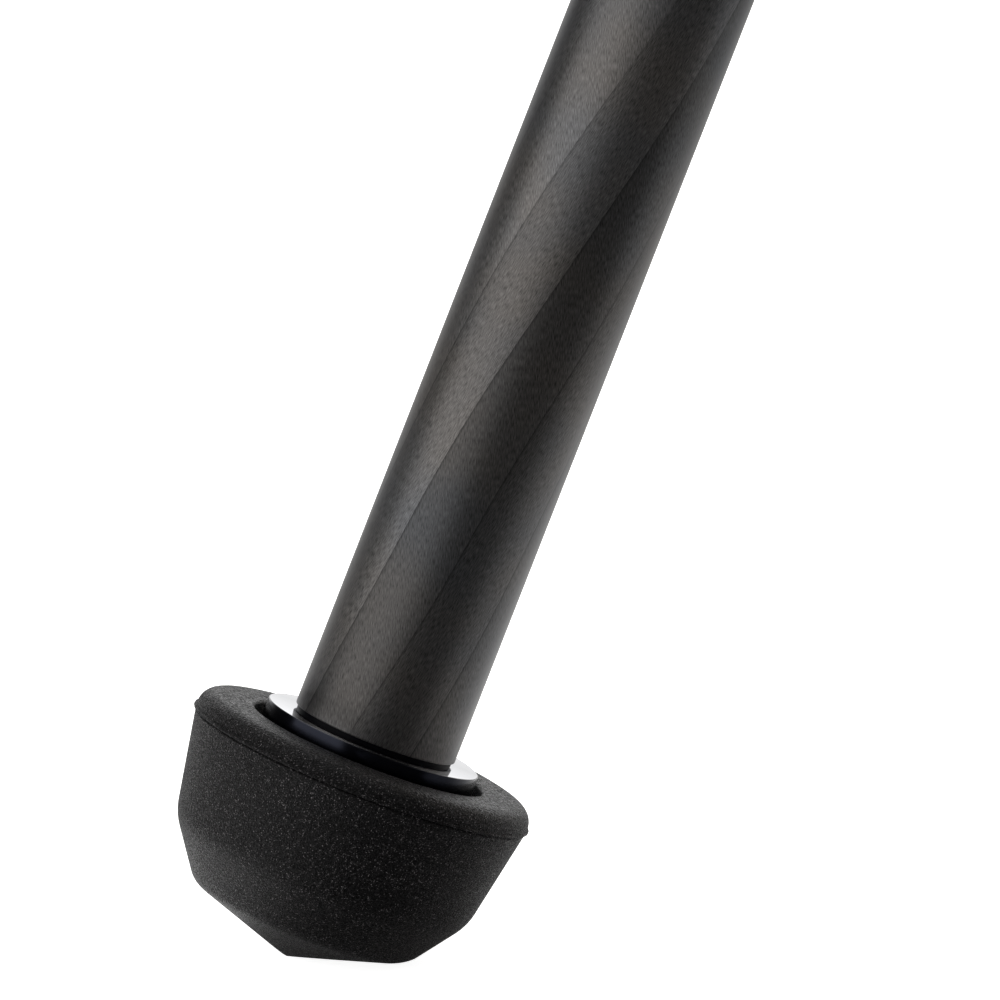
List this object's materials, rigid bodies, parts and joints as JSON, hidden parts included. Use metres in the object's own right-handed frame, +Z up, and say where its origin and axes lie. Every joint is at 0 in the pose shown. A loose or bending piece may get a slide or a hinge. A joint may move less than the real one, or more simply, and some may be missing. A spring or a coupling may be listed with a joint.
{
  "type": "camera tripod",
  "caption": "Carbon camera tripod: twist-lock telescoping legs on a spider, large rubber feet, short centre column with mounting plate and bag hook.",
  "frame": {"origin": "on the mounting plate's top face, at the axis of the head stud", "axes": "+Z up along the column and the head stud; the first leg stands towards -X"},
  "size_m": [0.5983, 0.6828, 0.9123],
  "materials": {
    "foot_rubber": "matt black moulded rubber with fine grain",
    "polished_flange": "mirror-polished disc",
    "carbon_tube": "wrapped carbon fibre under clear resin",
    "cast_body": "black powder coat on cast alloy",
    "machined_black": "black anodised, turned",
    "grip_rubber": "ribbed matt rubber",
    "stop_alloy": "satin grey alloy",
    "shim_plastic": "plain moulded plastic",
    "plug_alloy": "black anodised, turned",
    "bolt_steel": "satin stainless",
    "plate_alloy": "black anodised, turned",
    "pad_rubber": "dimpled friction rubber",
    "stud_steel": "bright turned steel",
    "level_cup": "level with green fluid",
    "hook_steel": "bright bent wire"
  },
  "bodies": {
    "base": {"spider": "cast_body", "hinge_bolts": "bolt_steel", "column_sleeve": "machined_black", "bubble_level": "level_cup"},
    "leg_1": {"leg_1_head": "cast_body", "leg_1_upper_tube": "carbon_tube", "leg_1_upper_lock_seat": "machined_black"},
    "leg_1_stop": {"leg_1_angle_stop": "stop_alloy"},
    "leg_1_upper_lock": {"leg_1_upper_lock_collar": "machined_black", "leg_1_upper_lock_grip": "grip_rubber"},
    "leg_1_middle": {"leg_1_middle_tube": "carbon_tube", "leg_1_middle_shims": "shim_plastic", "leg_1_lower_lock_seat": "machined_black"},
    "leg_1_lower_lock": {"leg_1_lower_lock_collar": "machined_black", "leg_1_lower_lock_grip": "grip_rubber"},
    "leg_1_lower": {"leg_1_lower_tube": "carbon_tube", "leg_1_lower_shims": "shim_plastic", "leg_1_tube_plug": "plug_alloy", "leg_1_foot_flange": "polished_flange", "leg_1_rubber_foot": "foot_rubber"},
    "leg_2": {"leg_2_head": "cast_body", "leg_2_upper_tube": "carbon_tube", "leg_2_upper_lock_seat": "machined_black"},
    "leg_2_stop": {"leg_2_angle_stop": "stop_alloy"},
    "leg_2_upper_lock": {"leg_2_upper_lock_collar": "machined_black", "leg_2_upper_lock_grip": "grip_rubber"},
    "leg_2_middle": {"leg_2_middle_tube": "carbon_tube", "leg_2_middle_shims": "shim_plastic", "leg_2_lower_lock_seat": "machined_black"},
    "leg_2_lower_lock": {"leg_2_lower_lock_collar": "machined_black", "leg_2_lower_lock_grip": "grip_rubber"},
    "leg_2_lower": {"leg_2_lower_tube": "carbon_tube", "leg_2_lower_shims": "shim_plastic", "leg_2_tube_plug": "plug_alloy", "leg_2_foot_flange": "polished_flange", "leg_2_rubber_foot": "foot_rubber"},
    "leg_3": {"leg_3_head": "cast_body", "leg_3_upper_tube": "carbon_tube", "leg_3_upper_lock_seat": "machined_black"},
    "leg_3_stop": {"leg_3_angle_stop": "stop_alloy"},
    "leg_3_upper_lock": {"leg_3_upper_lock_collar": "machined_black", "leg_3_upper_lock_grip": "grip_rubber"},
    "leg_3_middle": {"leg_3_middle_tube": "carbon_tube", "leg_3_middle_shims": "shim_plastic", "leg_3_lower_lock_seat": "machined_black"},
    "leg_3_lower_lock": {"leg_3_lower_lock_collar": "machined_black", "leg_3_lower_lock_grip": "grip_rubber"},
    "leg_3_lower": {"leg_3_lower_tube": "carbon_tube", "leg_3_lower_shims": "shim_plastic", "leg_3_tube_plug": "plug_alloy", "leg_3_foot_flange": "polished_flange", "leg_3_rubber_foot": "foot_rubber"},
    "column": {"column_tube": "carbon_tube", "mounting_plate": "plate_alloy", "plate_pad": "pad_rubber", "head_stud": "stud_steel", "column_cap": "machined_black"},
    "column_lock": {"column_lock_collar": "machined_black", "column_lock_grip": "grip_rubber"},
    "hook": {"bag_hook": "hook_steel"}
  },
  "joints": [
    {"name": "leg_1_spread", "type": "hinge", "parent": "base", "child": "leg_1", "pos_m": [-0.046, 0, -0.06], "axis": [0, 1, 0], "range_deg": [-21.3, 0]},
    {"name": "leg_1_stop_pull", "type": "slide", "parent": "leg_1", "child": "leg_1_stop", "axis": [-0.9317, 0, 0.3633], "range_m": [0, 0.008], "stiffness_N_per_m": 300, "springref_m": -0.003},
    {"name": "leg_1_upper_lock_turn", "type": "hinge", "parent": "leg_1", "child": "leg_1_upper_lock", "pos_m": [-0.21455, 0, -0.4923], "axis": [0.3633, 0, 0.9317], "range_deg": [0, 100]},
    {"name": "leg_1_middle_slide", "type": "slide", "parent": "leg_1", "child": "leg_1_middle", "axis": [-0.3633, 0, -0.9317], "range_m": [-0.12, 0.225]},
    {"name": "leg_1_lower_lock_turn", "type": "hinge", "parent": "leg_1_middle", "child": "leg_1_lower_lock", "pos_m": [-0.27485, 0, -0.64697], "axis": [0.3633, 0, 0.9317], "range_deg": [0, 100]},
    {"name": "leg_1_lower_slide", "type": "slide", "parent": "leg_1_middle", "child": "leg_1_lower", "axis": [-0.3633, 0, -0.9317], "range_m": [-0.2, 0.15]},
    {"name": "leg_2_spread", "type": "hinge", "parent": "base", "child": "leg_2", "pos_m": [0.023, -0.03984, -0.06], "axis": [-0.866, -0.5, 0], "range_deg": [-21.3, 0]},
    {"name": "leg_2_stop_pull", "type": "slide", "parent": "leg_2", "child": "leg_2_stop", "axis": [0.4658, -0.8069, 0.3633], "range_m": [0, 0.008], "stiffness_N_per_m": 300, "springref_m": -0.003},
    {"name": "leg_2_upper_lock_turn", "type": "hinge", "parent": "leg_2", "child": "leg_2_upper_lock", "pos_m": [0.10727, -0.1858, -0.4923], "axis": [-0.1816, 0.3146, 0.9317], "range_deg": [0, 100]},
    {"name": "leg_2_middle_slide", "type": "slide", "parent": "leg_2", "child": "leg_2_middle", "axis": [0.1816, -0.3146, -0.9317], "range_m": [-0.12, 0.225]},
    {"name": "leg_2_lower_lock_turn", "type": "hinge", "parent": "leg_2_middle", "child": "leg_2_lower_lock", "pos_m": [0.13742, -0.23803, -0.64697], "axis": [-0.1816, 0.3146, 0.9317], "range_deg": [0, 100]},
    {"name": "leg_2_lower_slide", "type": "slide", "parent": "leg_2_middle", "child": "leg_2_lower", "axis": [0.1816, -0.3146, -0.9317], "range_m": [-0.2, 0.15]},
    {"name": "leg_3_spread", "type": "hinge", "parent": "base", "child": "leg_3", "pos_m": [0.023, 0.03984, -0.06], "axis": [0.866, -0.5, 0], "range_deg": [-21.3, 0]},
    {"name": "leg_3_stop_pull", "type": "slide", "parent": "leg_3", "child": "leg_3_stop", "axis": [0.4658, 0.8069, 0.3633], "range_m": [0, 0.008], "stiffness_N_per_m": 300, "springref_m": -0.003},
    {"name": "leg_3_upper_lock_turn", "type": "hinge", "parent": "leg_3", "child": "leg_3_upper_lock", "pos_m": [0.10727, 0.1858, -0.4923], "axis": [-0.1816, -0.3146, 0.9317], "range_deg": [0, 100]},
    {"name": "leg_3_middle_slide", "type": "slide", "parent": "leg_3", "child": "leg_3_middle", "axis": [0.1816, 0.3146, -0.9317], "range_m": [-0.12, 0.225]},
    {"name": "leg_3_lower_lock_turn", "type": "hinge", "parent": "leg_3_middle", "child": "leg_3_lower_lock", "pos_m": [0.13742, 0.23803, -0.64697], "axis": [-0.1816, -0.3146, 0.9317], "range_deg": [0, 100]},
    {"name": "leg_3_lower_slide", "type": "slide", "parent": "leg_3_middle", "child": "leg_3_lower", "axis": [0.1816, 0.3146, -0.9317], "range_m": [-0.2, 0.15]},
    {"name": "column_slide", "type": "slide", "parent": "base", "child": "column", "axis": [0, 0, 1], "range_m": [0, 0.235]},
    {"name": "column_lock_turn", "type": "hinge", "parent": "base", "child": "column_lock", "pos_m": [0, 0, -0.024], "axis": [0, 0, 1], "range_deg": [0, 100]},
    {"name": "hook_swivel", "type": "hinge", "parent": "column", "child": "hook", "pos_m": [0, 0, -0.3186], "axis": [0, 0, 1], "continuous": true}
  ]
}
